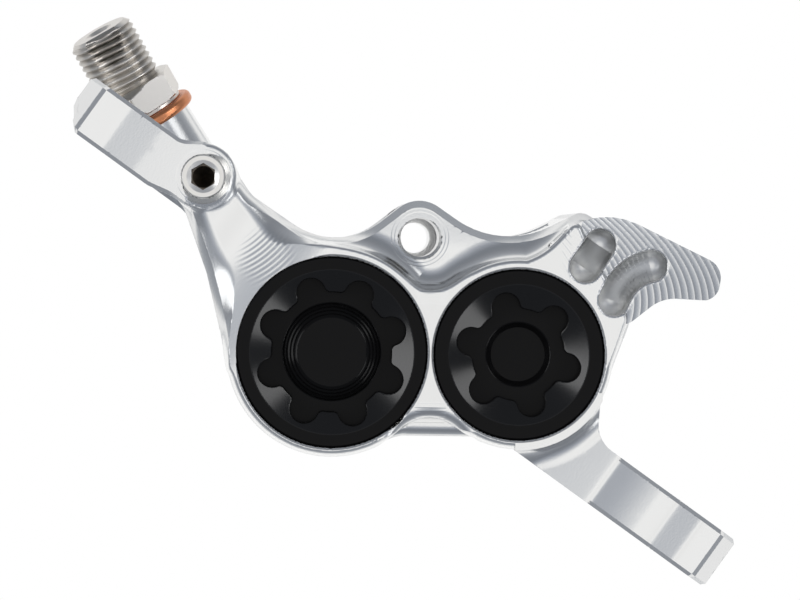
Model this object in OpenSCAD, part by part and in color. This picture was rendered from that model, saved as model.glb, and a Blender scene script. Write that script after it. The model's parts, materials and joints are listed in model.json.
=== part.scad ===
// Four-piston hydraulic disc brake caliper with a one-piece body.
// Row frame: X along the line of the two mounting bolts, Y along the wheel axle (the capped side
// faces -Y), Z along the bolts. The origin is the middle of the rotor gap, halfway between the bores.
// Pad frame: the same origin turned about Y, so that u runs through both bores and v points away
// from the wheel axle.

/* [Layout] */
// Wall between the two caps
cap_gap = 0.7; // [0.6:0.1:1.5]
// Turn of the pad frame against the bolt line, in degrees
mount_tilt = 35; // [33:1:37]
// Thickness of the gap for the rotor, with the pads pushed back
rotor_gap = 4.4; // [4.2:0.1:5]
// Outer radius of the rotor that the gap is cut for
rotor_r = 90; // [85:1:100]
// Height of the rotor's edge over the bore axes
rotor_reach = 9; // [8:0.1:9.4]
// Clearance of the slit round the rotor's edge
rotor_clearance = 1.2; // [1:0.1:1.4]

/* [Body] */
// Distance of the front face from the rotor's middle plane
front_y = 18.5; // [18:0.1:20]
// Distance of the back face from the rotor's middle plane
back_y = 18; // [17.5:0.1:20]
// Depth of the valley round the pin lug below the front face
valley_depth = 3; // [2:0.1:4]
// Wall round each cap
rim_wall = 1.1; // [1:0.05:1.4]
// Radius of the concave fillet at the foot of the small bore's wall
rim_fillet_r = 2.8; // [2:0.1:2.9]
// Thickness of the wing
wing_t = 8.5; // [6:0.5:10]
// Backward slope of the wing, in degrees
wing_slope = 14; // [8:1:18]
// Depth of the two cooling pockets in the wing
pocket_depth = 5.5; // [3:0.5:6]
// Radius of the cutter that made the cooling pockets
pocket_r = 1.7; // [1.4:0.1:1.9]
// Radius of the hollow between the bleed boss and the front face
arm_hollow_r = 9; // [7:0.5:12]
// Depth of that hollow below the front face
arm_hollow_depth = 2.6; // [2:0.1:2.8]
// Radius of the round notch between the bores, below
notch_r = 4.35; // [4:0.05:4.6]
// Height of the round bosses behind the bores
back_boss_h = 2.5; // [2:0.1:2.6]
// Step from the wall round a bore in to the boss behind it
back_boss_step = 1.2; // [0.8:0.1:1.6]

/* [Ears] */
// Distance between the two mounting bolts
post_spacing = 74; // [72:0.5:76]
// Place of the middle of the bolts along X
post_middle = -3.5; // [-4:0.1:-3]
// Height of the mounting faces
post_plane = -2.9; // [-3.2:0.1:-2.6]
// Thickness of an ear along the bolt
ear_t = 6.2; // [5.5:0.1:7]
// Length of an ear past its bolt
ear_end = 6.8; // [6:0.1:8]
// Distance of the ears' front from the rotor's middle plane
ear_front_y = 15.5; // [15:0.1:16]
// Width of an ear along the axle
ear_w = 13; // [12.5:0.1:13]
// Radius of an ear's end corners
ear_corner_r = 3; // [1:0.1:4]
// Length of an ear's root before its bolt
ear_root_l = 5.6; // [5.2:0.1:5.8]
// Width of the bolt slots
slot_w = 6.4; // [6.2:0.1:6.8]
// Length of the bolt slots
slot_l = 9.4; // [8.5:0.1:10]

/* [Pistons and pads] */
// Diameter of the large pistons
large_piston_d = 18; // [17:0.1:18.2]
// Diameter of the small pistons
small_piston_d = 16; // [15:0.1:16.2]
// Length of a piston
piston_l = 7; // [6:0.1:7.2]
// Wall of a piston's cup
piston_wall = 2.4; // [1.5:0.1:3]
// Depth of a piston's cup
piston_cup = 4.8; // [3:0.1:5.2]
// Radial running clearance of a piston
piston_clearance = 0.05; // [0.03:0.01:0.08]
// Radial thickness of a piston seal
seal_t = 1.1; // [0.8:0.1:1.2]
// Width of a piston seal
seal_w = 1.8; // [1.2:0.1:2]
// Thickness of a pad's backing plate
plate_t = 1.8; // [1.6:0.1:2]
// Thickness of a pad's friction block
friction_t = 2; // [1.5:0.1:2.5]
// Gap between a backing plate and the body
plate_gap = 0.2; // [0.1:0.05:0.3]
// Gap between a backing plate and the ends of its pocket
plate_end_gap = 0.3; // [0.2:0.05:0.5]
// Thickness of the leaf that spreads the pads
spring_t = 0.3; // [0.2:0.05:0.5]

/* [Caps] */
// Diameter of the large cap
large_cap_d = 20.8; // [20.4:0.1:21]
// Diameter of the small cap
small_cap_d = 18.6; // [18.2:0.1:18.8]
// Thickness of a cap
cap_t = 3.9; // [3.5:0.1:4.1]
// Depth of a cap's face below the front face
cap_sink = 0.2; // [0.1:0.05:0.4]
// Radial clearance of a cap
cap_clearance = 0.05; // [0.03:0.01:0.08]
// Depth of a cap's tool socket
socket_depth = 2.4; // [1.5:0.1:2.6]
// Number of lobes in the large cap
large_lobes = 8; // [6:1:10]
// Number of lobes in the small cap
small_lobes = 6; // [5:1:8]
// Radius of a lobe
lobe_r = 1.55; // [1.3:0.05:1.7]
// Section of a cap's sealing ring
cap_seal_w = 0.9; // [0.7:0.05:1]
// Radius of the raised middle of the large cap
cap_boss_r = 3.9; // [3:0.1:4.2]
// Radius of the sunk middle of the small cap
cap_sink_r = 3; // [2:0.1:3.4]

/* [Pin lug] */
// Offset of the pad pin bore from the middle of the bores
pin_u = -0.7; // [-1:0.1:1]
// Height of the pad pin bore over the bore axes
pin_v = 12.64; // [12.4:0.02:13]
// Diameter of the pad pin bore in the front half
pin_bore_d = 4.26; // [4.1:0.02:4.4]
// Diameter of the tapped pin hole in the back half
pin_thread_d = 3.5; // [3.3:0.1:4]
// Radius of the pin lug
lug_r = 4; // [3.8:0.1:4.3]

/* [Bleed screw] */
// Place of the bleed screw along the pad frame's u axis
bleed_u = -24.5; // [-25:0.1:-24]
// Place of the bleed screw along the pad frame's v axis
bleed_v = 18.9; // [18.5:0.1:19.3]
// Diameter of the bleed boss
bleed_boss_d = 7.3; // [7:0.1:8]
// Distance of the bleed boss's face from the rotor's middle plane
bleed_face_y = 17.2; // [16.5:0.1:18]
// Diameter of the bleed screw's head
bleed_head_d = 4.7; // [4.4:0.1:5]
// Diameter of the bleed screw's thread
bleed_thread_d = 3.8; // [3.5:0.1:4]
// Length of the bleed screw
bleed_l = 8; // [6:0.5:9]
// Size of the bleed screw's hexagon socket across its flats
bleed_hex = 2.5; // [2:0.1:2.6]
// Length of the bleed screw's head
bleed_head_l = 1.1; // [0.9:0.1:1.3]
// Depth of the counterbore for the bleed screw's head
bleed_seat_depth = 1.4; // [1.2:0.1:1.6]
// Thickness of the bleed screw's sealing ring
bleed_seal_t = 0.6; // [0.4:0.1:0.7]

/* [Hose connector] */
// Place of the washer seat along the pad frame's u axis
port_u = -30.9; // [-31.2:0.1:-30.6]
// Place of the washer seat along the pad frame's v axis
port_v = 25.3; // [25:0.1:25.6]
// Distance of the washer seat behind the rotor's middle plane
port_y = 4.6; // [4.2:0.1:5]
// Direction of the connector in the pad frame, in degrees from u
port_angle = 120.6; // [119:0.1:122]
// Lean of the connector towards the front, in degrees
port_lean = 11.5; // [10:0.5:12]
// Diameter of the port boss at its seat
port_boss_d = 9.2; // [9:0.1:10]
// Length of the port boss
port_boss_l = 16; // [14:0.5:17]
// Diameter of the connector's free thread
hose_thread_d = 7.6; // [7:0.1:8]
// Length of the connector's free thread
hose_thread_l = 7.2; // [6:0.1:9]
// Size of the connector's hexagon across its flats
hose_hex = 9; // [8:0.1:9.4]
// Length of the connector's hexagon
hose_hex_l = 3; // [2:0.1:4]
// Diameter of the copper washer
washer_d = 11; // [10.8:0.1:11.4]
// Thickness of the copper washer
washer_t = 1.3; // [1:0.1:1.6]
// Diameter of the connector's stem in the body
stem_d = 5.8; // [5:0.1:6]
// Length of the connector's stem in the body
stem_l = 6.5; // [5:0.1:7]
// Chamfer at the mouth of the connector's bore
hose_mouth = 0.6; // [0.4:0.1:0.8]

/* [Hidden] */
$fn = 64;
// Steps in a rounded corner of an outline
arc_steps = 6;
// Extra length of a cut past the face it opens
past = 1;
// Clearance of a ring in its groove
ring_gap = 0.05;
// Clearance of a screw or stem in its hole
thread_gap = 0.05;

bore_pitch = (large_cap_d + small_cap_d) / 2 + cap_gap;
large_u = -bore_pitch / 2;
small_u = bore_pitch / 2;
large_rim_r = large_cap_d / 2 + rim_wall;
small_rim_r = small_cap_d / 2 + rim_wall;
pad_wall = rotor_gap / 2 + friction_t + plate_t + plate_gap;
piston_face = pad_wall - plate_gap;
piston_back = piston_face + piston_l;
cap_seat = front_y - cap_sink - cap_t;
chamber_mid = (piston_back + cap_seat) / 2;
gallery_r = 0.6;
deck_y = front_y - valley_depth;
back_shoulder = back_y - back_boss_h;
// Distance of a piston seal's middle from the pad pocket's wall
seal_inset = 2.6;
seal_mid = pad_wall + seal_inset;
ear_back_y = ear_front_y - ear_w;
post_y = ear_front_y - ear_w / 2;
ear_top = post_plane + ear_t;
slit_r = rotor_r + rotor_clearance;
rotor_v = rotor_reach - rotor_r;
// Ends of the pad pocket along u, and the window above it
pocket_left = large_u - large_piston_d / 2 - 0.2;
pocket_right = small_u + small_piston_d / 2 + 0.7;
window_left = pocket_left + 4;
window_right = pocket_right - 4.4;
pocket_top = 8.2;
// Cross gallery that feeds both halves, with its plug
gallery_u = large_u - large_piston_d / 2 - 2.2;
gallery_v = 9.4;
plug_r = 1.6;
plug_l = 2;
// Bores of the bleed way, the port and the connector
bleed_way_r = 1;
port_way_r = 1;
port_end_r = 1.4;
stem_way_r = 0.8;
// Turn of the connector's hexagon about its axis
hex_turn = 40;
// Depth of a cap's sealing groove, and its distance from the cap's seat
cap_seal_r = 0.9;
cap_seal_y = cap_seat + 1.2;
// Radial room round the bleed screw's head, and of the spot face before it
head_gap = 0.1;
spot_gap = 0.6;
spot_depth = 0.45;
// Place of the first lobe of each cap in degrees, and the wall round its socket
large_first = 20;
small_first = 45.6;
large_socket_wall = 3.9;
small_socket_wall = 4.3;
// Offset of the lobes from the socket's edge
lobe_step = 0.3;
// Flare of the large cap's middle, its depth below the face, and the depth of the small cap's middle
boss_flare = 1.6;
boss_drop = 0.4;
sink_depth = 0.6;
// Middle of the round notch between the bores, below
notch_u = 0.6;
notch_v = -11.4;
// Step from the front face down to the wing, and where its slope starts right of the small bore
wing_step = 0.4;
wing_start = 6.6;
// Flare of the port boss towards its foot
port_flare = 0.6;
// Radial room of the pad pin in the backing plates
pin_gap = 0.3;
// Radial room of the pressed gallery plug
press_gap = 0.01;
// Length of an arm inside its ear
arm_lap = 0.4;

// Outlines
function unit(v) = v / norm(v);
function point(p) = [p[0], p[1]];
function pad(x, z) =
    [x * cos(mount_tilt) + z * sin(mount_tilt), z * cos(mount_tilt) - x * sin(mount_tilt)];
function large(u, v) = [large_u + u, v];
function small(u, v) = [small_u + u, v];
function with_r(p, r) = [p[0], p[1], r];

// Points of one outline corner, rounded with radius r
function corner(a, b, c, r) =
    let (p = unit(a - b), q = unit(c - b), half = acos(p * q) / 2)
    let (hub = b + unit(p + q) * r / sin(half), start = b + p * r / tan(half) - hub)
    let (end = b + q * r / tan(half) - hub, from = atan2(start[1], start[0]))
    let (sweep = (atan2(end[1], end[0]) - from + 540) % 360 - 180)
    r == 0 ? [b] : [for (k = [0:arc_steps]) hub + r * [cos(from + sweep * k / arc_steps),
                                                       sin(from + sweep * k / arc_steps)]];

// Outline through corners given as [u, v, radius]
function rounded(list) =
    let (n = len(list))
    [for (i = [0:n - 1]) each corner(point(list[(i + n - 1) % n]), point(list[i]),
                                     point(list[(i + 1) % n]), list[i][2])];

// Arm edge, top edge and lug, from the bleed boss to the right shoulder
top_edge = [
    [bleed_u - 3, bleed_v - 1, 0],
    [bleed_u + 2.4, bleed_v + 2.4, 0],
    with_r(large(-9, 17), 3),
    with_r(large(0.5, large_rim_r - 0.9), 8),
    [pin_u - 0.2, pin_v + lug_r + 0.9, lug_r - 0.4],
    with_r(small(-2, small_rim_r + 0.9), 10),
    with_r(small(6.8, small_rim_r + 5.4), 1.5),
    with_r(small(12, small_rim_r + 2.4), 3)
];

// Right and lower edges, round to the arm's left edge
low_edge = [
    with_r(small(12.2, 3.6), 2.5),
    with_r(small(9, -5), 0),
    with_r(small(-1, -9.2), 0),
    with_r(large(1, -9.2), 0),
    with_r(large(-large_rim_r + 0.25, -2), 0),
    with_r(large(-large_rim_r - 2.3, 8.4), 8)
];

// Edge of the raised front face
face_edge = [
    [bleed_u - 1.6, bleed_v - 2.5, 0],
    [bleed_u + 3, bleed_v + 1, 0],
    with_r(large(-6.6, large_rim_r + 1.6), 3),
    with_r(large(-1, large_rim_r + 0.2), 4),
    with_r(large(5, large_rim_r - 1.6), 5),
    [0.4, 6.4, 2],
    with_r(small(-5, small_rim_r - 1), 5),
    with_r(small(2, small_rim_r), 4),
    with_r(small(6.2, small_rim_r + 4.6), 0.8),
    with_r(small(8, small_rim_r + 0.5), 3),
    with_r(small(12, 4.2), 1),
    with_r(small(9, -5), 0),
    with_r(small(-1, -9), 0),
    with_r(large(1, -9), 0),
    with_r(large(-large_rim_r + 0.2, -2), 0),
    with_r(large(-large_rim_r - 0.6, 8.5), 4)
];

// Wing to the right of the small bore
wing_edge = [
    with_r(small(3, small_rim_r + 1.6), 0),
    with_r(small(7.7, small_rim_r + 5.9), 9),
    with_r(small(22.5, 9.95), 2.2),
    with_r(small(21.9, 6.15), 1.8),
    with_r(small(15.7, 6.4), 4.5),
    with_r(small(12.4, 3.8), 2),
    with_r(small(6, 1), 0)
];

// Lower arm, from the small bore's wall to the lower ear
ear_root = post_middle + post_spacing / 2 - ear_root_l + arm_lap;
lower_arm_edge = [
    with_r(small(0, -4), 0),
    with_r(small(9.2, -4), 0),
    with_r(pad(post_middle + 24.6, ear_top), 3.5),
    with_r(pad(ear_root, ear_top), 0),
    with_r(pad(ear_root, post_plane), 0),
    with_r(pad(post_middle + 17.6, post_plane), 0)
];

// Upper arm, from the bleed boss to the upper ear
upper_root = post_middle - post_spacing / 2 + ear_root_l - arm_lap;
upper_arm_edge = [
    with_r(pad(upper_root, ear_top), 0),
    [bleed_u, bleed_v + bleed_boss_d / 2, 0],
    [bleed_u + 2, bleed_v, 0],
    [bleed_u, bleed_v - bleed_boss_d / 2, 0],
    with_r(pad(upper_root, post_plane), 0)
];

// Paths of the two cooling pockets in the wing
pocket_paths = [
    [small(7.1, 9.7), small(8.7, 12.1)],
    [small(10.3, 6.1), small(11.7, 8.4), small(14.5, 9.9)]
];

module pad_frame() {
    rotate([0, -mount_tilt, 0]) children();
}

// A flat outline in u and v, raised from y0 to y1
module slab(y0, y1) {
    translate([0, y1, 0]) rotate([90, 0, 0]) linear_extrude(y1 - y0) children();
}

// Outline that a round cutter of radius r leaves along a path
module cutter_path(path, r) {
    for (p = path) translate(p) circle(r);
    for (k = [1:len(path) - 1]) {
        side = r * unit([path[k - 1][1] - path[k][1], path[k][0] - path[k - 1][0]]);
        polygon([path[k - 1] + side, path[k] + side, path[k] - side, path[k - 1] - side]);
    }
}

// A round bar along the axle at (u, v)
module bar(u, v, y0, y1, r) {
    slab(y0, y1) translate([u, v]) circle(r);
}

// A ring along the axle at (u, v)
module ring(u, v, y0, y1, outer, inner) {
    slab(y0, y1) translate([u, v]) difference() {
        circle(outer);
        circle(inner);
    }
}

// The connector's frame: its axis along Z, with the washer seat at Z = 0
module port_frame() {
    pad_frame() translate([port_u, port_y, port_v]) rotate([0, 90 - port_angle, 0])
        rotate([port_lean, 0, 0]) children();
}

module ear(x, side) {
    tip = x + side * ear_end;
    root = x - side * ear_root_l;
    edge = [
        [tip, -ear_front_y, ear_corner_r],
        [tip, -ear_back_y, ear_corner_r],
        [root, -ear_back_y, 0],
        [root, -ear_front_y, 0]
    ];
    translate([0, 0, post_plane]) linear_extrude(ear_t) polygon(rounded(edge));
}

module bolt_slot(x) {
    reach = (slot_l - slot_w) / 2;
    translate([x, -post_y, post_plane - past]) linear_extrude(ear_t + 2 * past) {
        square([slot_w, 2 * reach], center = true);
        for (side = [-1, 1]) translate([0, side * reach]) circle(slot_w / 2);
    }
}

module wing() {
    front = front_y - wing_step;
    difference() {
        slab(-front, -front + wing_t) polygon(rounded(wing_edge));
        translate([small_u + wing_start, -front, 0]) rotate([0, 0, wing_slope])
            translate([0, -wing_t, 0]) cube([40, wing_t, 40]);
    }
}

// Concave fillet round the small bore's wall, on the lower arm
module foot_fillet() {
    foot = small_rim_r + rim_fillet_r;
    intersection() {
        translate([small_u, -ear_front_y, 0]) rotate([90, 0, 0]) rotate_extrude() difference() {
            square([foot, rim_fillet_r]);
            translate([foot, rim_fillet_r]) circle(rim_fillet_r);
        }
        slab(-front_y, -ear_back_y) polygon(rounded(lower_arm_edge));
    }
}

module outer_half() {
    slab(-deck_y, -pad_wall) polygon(rounded(concat(top_edge, low_edge)));
    slab(-front_y, -pad_wall - past) polygon(rounded(face_edge));
    bar(large_u, 0, -front_y, -pad_wall, large_rim_r);
    bar(small_u, 0, -front_y, -pad_wall, small_rim_r);
    slab(-ear_front_y, -ear_back_y) polygon(rounded(lower_arm_edge));
    foot_fillet();
    wing();
}

module inner_half() {
    slab(-pad_wall, back_shoulder) polygon(rounded(concat(top_edge, low_edge)));
    for (bore = [[large_u, large_rim_r], [small_u, small_rim_r]]) {
        bar(bore[0], 0, -pad_wall, back_shoulder, bore[1]);
        bar(bore[0], 0, -pad_wall, back_y, bore[1] - back_boss_step);
    }
}

module port_boss() {
    seat_r = port_boss_d / 2;
    // Nothing of the boss stands below the mounting face
    intersection() {
        port_frame() translate([0, 0, -port_boss_l])
            cylinder(h = port_boss_l, r1 = seat_r + port_flare, r2 = seat_r);
        translate([post_middle - post_spacing, -front_y, post_plane]) cube(post_spacing);
    }
}

// Hollow in the arm between the bleed boss and the front face
module arm_hollow() {
    middle = [bleed_u + 4.9, bleed_v - 3.7];
    translate([middle[0], -front_y - arm_hollow_r + arm_hollow_depth, middle[1]]) rotate([0, 35, 0])
        cylinder(h = 30, r = arm_hollow_r, center = true);
}

module body_blank() {
    pad_frame() {
        difference() {
            outer_half();
            arm_hollow();
        }
        inner_half();
        bar(bleed_u, bleed_v, -bleed_face_y, ear_back_y, bleed_boss_d / 2);
        slab(-ear_front_y, -ear_back_y) polygon(rounded(upper_arm_edge));
    }
    port_boss();
    ear(post_middle - post_spacing / 2, -1);
    ear(post_middle + post_spacing / 2, 1);
}

// Bore for one piston in the outer half, with the cap's seat above it
module outer_bore(u, piston_r, cap_r) {
    bar(u, 0, -front_y, -pad_wall + past, piston_r + piston_clearance);
    bar(u, 0, -front_y - past, -cap_seat, cap_r + cap_clearance);
    bar(u, 0, -seal_mid - seal_w / 2 - ring_gap, -seal_mid + seal_w / 2 + ring_gap, piston_r + seal_t);
}

// Blind bore for one piston in the inner half
module inner_bore(u, piston_r) {
    bar(u, 0, pad_wall - past, cap_seat, piston_r + piston_clearance);
    bar(u, 0, seal_mid - seal_w / 2 - ring_gap, seal_mid + seal_w / 2 + ring_gap, piston_r + seal_t);
}

module drilled_hole(a, b, r) {
    way = b - a;
    len = norm(way);
    translate(a) rotate([0, acos(way[2] / len), atan2(way[1], way[0])]) cylinder(h = len, r = r);
}

// Fluid ways: from the port to the cross gallery, and from there to all four bores
module galleries() {
    pad_frame() {
        bar(gallery_u, gallery_v, -chamber_mid - gallery_r, back_shoulder - plug_l, gallery_r);
        bar(gallery_u, gallery_v, back_shoulder - plug_l, back_shoulder + past, plug_r);
        for (y = [-chamber_mid, chamber_mid]) {
            drilled_hole([gallery_u, y, gallery_v], [large_u, y, 0], gallery_r);
            drilled_hole([large_u, y, 0], [small_u, y, 0], gallery_r);
        }
        bar(bleed_u, bleed_v, -bleed_face_y, port_y + 1.6, bleed_way_r);
    }
    port_frame() {
        translate([0, 0, -stem_l - 3.5]) cylinder(h = 4, r = port_end_r);
        translate([0, 0, -20]) cylinder(h = 17, r = port_way_r);
    }
}

module body_cuts() {
    pad_frame() {
        outer_bore(large_u, large_piston_d / 2, large_cap_d / 2);
        outer_bore(small_u, small_piston_d / 2, small_cap_d / 2);
        inner_bore(large_u, large_piston_d / 2);
        inner_bore(small_u, small_piston_d / 2);
        slab(-pad_wall, pad_wall) polygon([[pocket_left, -30], [pocket_left, pocket_top - 1],
            [pocket_left + 1, pocket_top], [window_left, pocket_top], [window_left, 30],
            [window_right, 30], [window_right, pocket_top], [pocket_right - 1, pocket_top],
            [pocket_right, pocket_top - 1], [pocket_right, -30]]);
        bar(0, rotor_v, -rotor_gap / 2, rotor_gap / 2, slit_r);
        bar(pin_u, pin_v, -front_y - past, 0, pin_bore_d / 2);
        bar(pin_u, pin_v, 0, back_y + past, pin_thread_d / 2);
        // Round notch between the two bores at the front
        bar(notch_u, notch_v, -front_y - past, -deck_y + 1, notch_r);
        for (path = pocket_paths)
            slab(-front_y - past, -front_y + pocket_depth) cutter_path(path, pocket_r);
        bar(bleed_u, bleed_v, -bleed_face_y - past, -bleed_face_y + bleed_l,
            bleed_thread_d / 2 + thread_gap);
        bar(bleed_u, bleed_v, -bleed_face_y - past, -bleed_face_y + bleed_seat_depth,
            bleed_head_d / 2 + head_gap);
        bar(bleed_u, bleed_v, -bleed_face_y - past, -bleed_face_y + spot_depth, bleed_head_d / 2 + spot_gap);
    }
    port_frame() translate([0, 0, -stem_l - thread_gap])
        cylinder(h = stem_l + past, r = stem_d / 2 + thread_gap);
    bolt_slot(post_middle - post_spacing / 2);
    bolt_slot(post_middle + post_spacing / 2);
}

module caliper_body() {
    color("silver") difference() {
        body_blank();
        body_cuts();
        galleries();
    }
}

// Threaded cap with a lobed tool socket; the middle stands up or sinks in
module bore_cap(u, cap_r, lobes, first, socket_r, boss_r, sink_r) {
    face = cap_seat + cap_t;
    floor_y = face - socket_depth;
    lobe_ring = socket_r + lobe_step;
    pad_frame() {
        difference() {
            bar(u, 0, -face, -cap_seat, cap_r);
            bar(u, 0, -face - past, -floor_y, socket_r);
            for (k = [0:lobes - 1]) {
                turn = first + k * 360 / lobes;
                bar(u + lobe_ring * cos(turn), lobe_ring * sin(turn), -face - past, -floor_y, lobe_r);
            }
            if (sink_r > 0) bar(u, 0, -face - past, -floor_y + sink_depth, sink_r);
            ring(u, 0, -cap_seal_y - cap_seal_w, -cap_seal_y, cap_r + past, cap_r - cap_seal_r);
        }
        if (boss_r > 0) translate([u, -floor_y, 0]) rotate([90, 0, 0])
            cylinder(h = socket_depth - boss_drop, r1 = boss_r + boss_flare, r2 = boss_r);
    }
}

module large_bore_cap() {
    color("#151515") bore_cap(large_u, large_cap_d / 2, large_lobes, large_first,
        large_cap_d / 2 - large_socket_wall, cap_boss_r, 0);
}

module small_bore_cap() {
    color("#151515") bore_cap(small_u, small_cap_d / 2, small_lobes, small_first,
        small_cap_d / 2 - small_socket_wall, 0, cap_sink_r);
}

module cap_seal(u, cap_r) {
    color("#202020") pad_frame() ring(u, 0, -cap_seal_y - cap_seal_w + ring_gap, -cap_seal_y - ring_gap,
        cap_r, cap_r - cap_seal_r + ring_gap);
}

module large_cap_seal() {
    cap_seal(large_u, large_cap_d / 2);
}

module small_cap_seal() {
    cap_seal(small_u, small_cap_d / 2);
}

// Cup-shaped piston; side is -1 in the outer half and 1 in the inner half
module piston(u, r, side) {
    color("gainsboro") pad_frame() mirror([0, side < 0 ? 1 : 0, 0]) difference() {
        bar(u, 0, piston_face, piston_back, r);
        bar(u, 0, piston_face - past, piston_face + piston_cup, r - piston_wall);
    }
}

module outer_large_piston() {
    piston(large_u, large_piston_d / 2, -1);
}

module outer_small_piston() {
    piston(small_u, small_piston_d / 2, -1);
}

module inner_large_piston() {
    piston(large_u, large_piston_d / 2, 1);
}

module inner_small_piston() {
    piston(small_u, small_piston_d / 2, 1);
}

module piston_seal(u, r, side) {
    mid = side * seal_mid;
    color("#262626") pad_frame() ring(u, 0, mid - seal_w / 2, mid + seal_w / 2, r + seal_t - ring_gap,
        r + piston_clearance / 2);
}

module outer_large_seal() {
    piston_seal(large_u, large_piston_d / 2, -1);
}

module outer_small_seal() {
    piston_seal(small_u, small_piston_d / 2, -1);
}

module inner_large_seal() {
    piston_seal(large_u, large_piston_d / 2, 1);
}

module inner_small_seal() {
    piston_seal(small_u, small_piston_d / 2, 1);
}

plate_left = pocket_left + plate_end_gap;
plate_right = pocket_right - plate_end_gap;
plate_low = -8;
shoulder_v = rotor_reach + 0.9;
plate_edge = [
    [plate_left, plate_low, 3],
    [plate_right, plate_low, 3],
    [plate_right, pocket_top - 2, 1],
    [window_right - plate_end_gap, pocket_top - 0.6, 0.6],
    [window_right - plate_end_gap, shoulder_v, 1],
    [pin_u + 4, shoulder_v, 1.2],
    [pin_u + 3.8, pin_v + 3.6, 3],
    [pin_u - 3.8, pin_v + 3.6, 3],
    [pin_u - 4, shoulder_v, 1.2],
    [window_left + plate_end_gap, shoulder_v, 1],
    [window_left + plate_end_gap, pocket_top - 0.6, 0.6],
    [plate_left, pocket_top - 2, 1]
];
friction_inset = 0.8;
friction_top = 7.4;
friction_edge = [
    [plate_left + friction_inset, plate_low + friction_inset, 2.5],
    [plate_right - friction_inset, plate_low + friction_inset, 2.5],
    [plate_right - friction_inset, friction_top - 1, 2],
    [small_u - 2, friction_top, 3],
    [large_u + 2, friction_top, 3],
    [plate_left + friction_inset, friction_top - 1, 2]
];

module pad_plate(side) {
    near = rotor_gap / 2 + friction_t;
    color("dimgray") pad_frame() mirror([0, side < 0 ? 1 : 0, 0]) difference() {
        slab(near, near + plate_t) polygon(rounded(plate_edge));
        bar(pin_u, pin_v, near - past, near + plate_t + past, pin_bore_d / 2 + pin_gap);
    }
}

module outer_pad_plate() {
    pad_plate(-1);
}

module inner_pad_plate() {
    pad_plate(1);
}

module pad_friction(side) {
    near = rotor_gap / 2;
    color("#4a3f38") pad_frame() mirror([0, side < 0 ? 1 : 0, 0])
        slab(near, near + friction_t) polygon(rounded(friction_edge));
}

module outer_pad_friction() {
    pad_friction(-1);
}

module inner_pad_friction() {
    pad_friction(1);
}

// Leaf with a bridge over the rotor and four legs against the backing plates
module pad_spring() {
    reach = rotor_gap / 2 + friction_t - 0.05;
    bridge_v = rotor_reach + 0.6;
    leg_w = 5;
    left = window_left + 1;
    right = window_right - 1;
    color("lightgray") pad_frame() {
        translate([left, -reach, bridge_v]) cube([right - left, 2 * reach, spring_t]);
        for (u = [left, right - leg_w], y = [-reach, reach - spring_t])
            translate([u, y, friction_top + 0.3]) cube([leg_w, spring_t, bridge_v - friction_top]);
    }
}

module bleed_screw() {
    foot = -bleed_face_y + bleed_seat_depth - bleed_seal_t;
    top = foot - bleed_head_l;
    color("#8c8c90") pad_frame() difference() {
        union() {
            bar(bleed_u, bleed_v, top, foot, bleed_head_d / 2);
            bar(bleed_u, bleed_v, top, -bleed_face_y + bleed_l - 0.4, bleed_thread_d / 2);
        }
        slab(top - past, foot + 1.4) translate([bleed_u, bleed_v]) rotate(30)
            circle(r = bleed_hex / 2 / cos(30), $fn = 6);
    }
}

module bleed_screw_seal() {
    foot = -bleed_face_y + bleed_seat_depth;
    color("#202020") pad_frame() ring(bleed_u, bleed_v, foot - bleed_seal_t, foot, bleed_head_d / 2,
        bleed_thread_d / 2 + thread_gap);
}

module hose_connector() {
    collar_l = 0.5;
    hex_foot = washer_t + collar_l;
    thread_foot = hex_foot + hose_hex_l;
    end = thread_foot + hose_thread_l;
    chamfer = 0.5;
    color("#a8a49c") port_frame() difference() {
        union() {
            translate([0, 0, -stem_l]) cylinder(h = stem_l + end - chamfer, r = stem_d / 2);
            translate([0, 0, washer_t]) cylinder(h = collar_l, r = hose_hex / 2);
            translate([0, 0, hex_foot]) rotate(hex_turn)
                cylinder(h = hose_hex_l, r = hose_hex / 2 / cos(30), $fn = 6);
            translate([0, 0, thread_foot]) cylinder(h = hose_thread_l - chamfer, r = hose_thread_d / 2);
            translate([0, 0, end - chamfer])
                cylinder(h = chamfer, r1 = hose_thread_d / 2, r2 = hose_thread_d / 2 - chamfer);
        }
        translate([0, 0, -stem_l - past]) cylinder(h = stem_l + end, r = stem_way_r);
        translate([0, 0, washer_t]) cylinder(h = end, r = port_way_r);
        translate([0, 0, end - hose_mouth])
            cylinder(h = hose_mouth + past, r1 = port_way_r, r2 = port_way_r + hose_mouth + past);
    }
}

module connector_washer() {
    color("#c8703a") port_frame() difference() {
        cylinder(h = washer_t, r = washer_d / 2);
        translate([0, 0, -past]) cylinder(h = washer_t + 2 * past, r = stem_d / 2 + thread_gap);
    }
}

module gallery_plug() {
    color("gray") pad_frame()
        bar(gallery_u, gallery_v, back_shoulder - plug_l, back_shoulder, plug_r - press_gap);
}

caliper_body();
large_bore_cap();
small_bore_cap();
large_cap_seal();
small_cap_seal();
outer_large_piston();
outer_small_piston();
inner_large_piston();
inner_small_piston();
outer_large_seal();
outer_small_seal();
inner_large_seal();
inner_small_seal();
outer_pad_plate();
outer_pad_friction();
inner_pad_plate();
inner_pad_friction();
pad_spring();
bleed_screw();
bleed_screw_seal();
hose_connector();
connector_washer();
gallery_plug();
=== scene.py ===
import json
import math

import bpy
import numpy as np
import openvdb
from mathutils import Matrix, Vector


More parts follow.
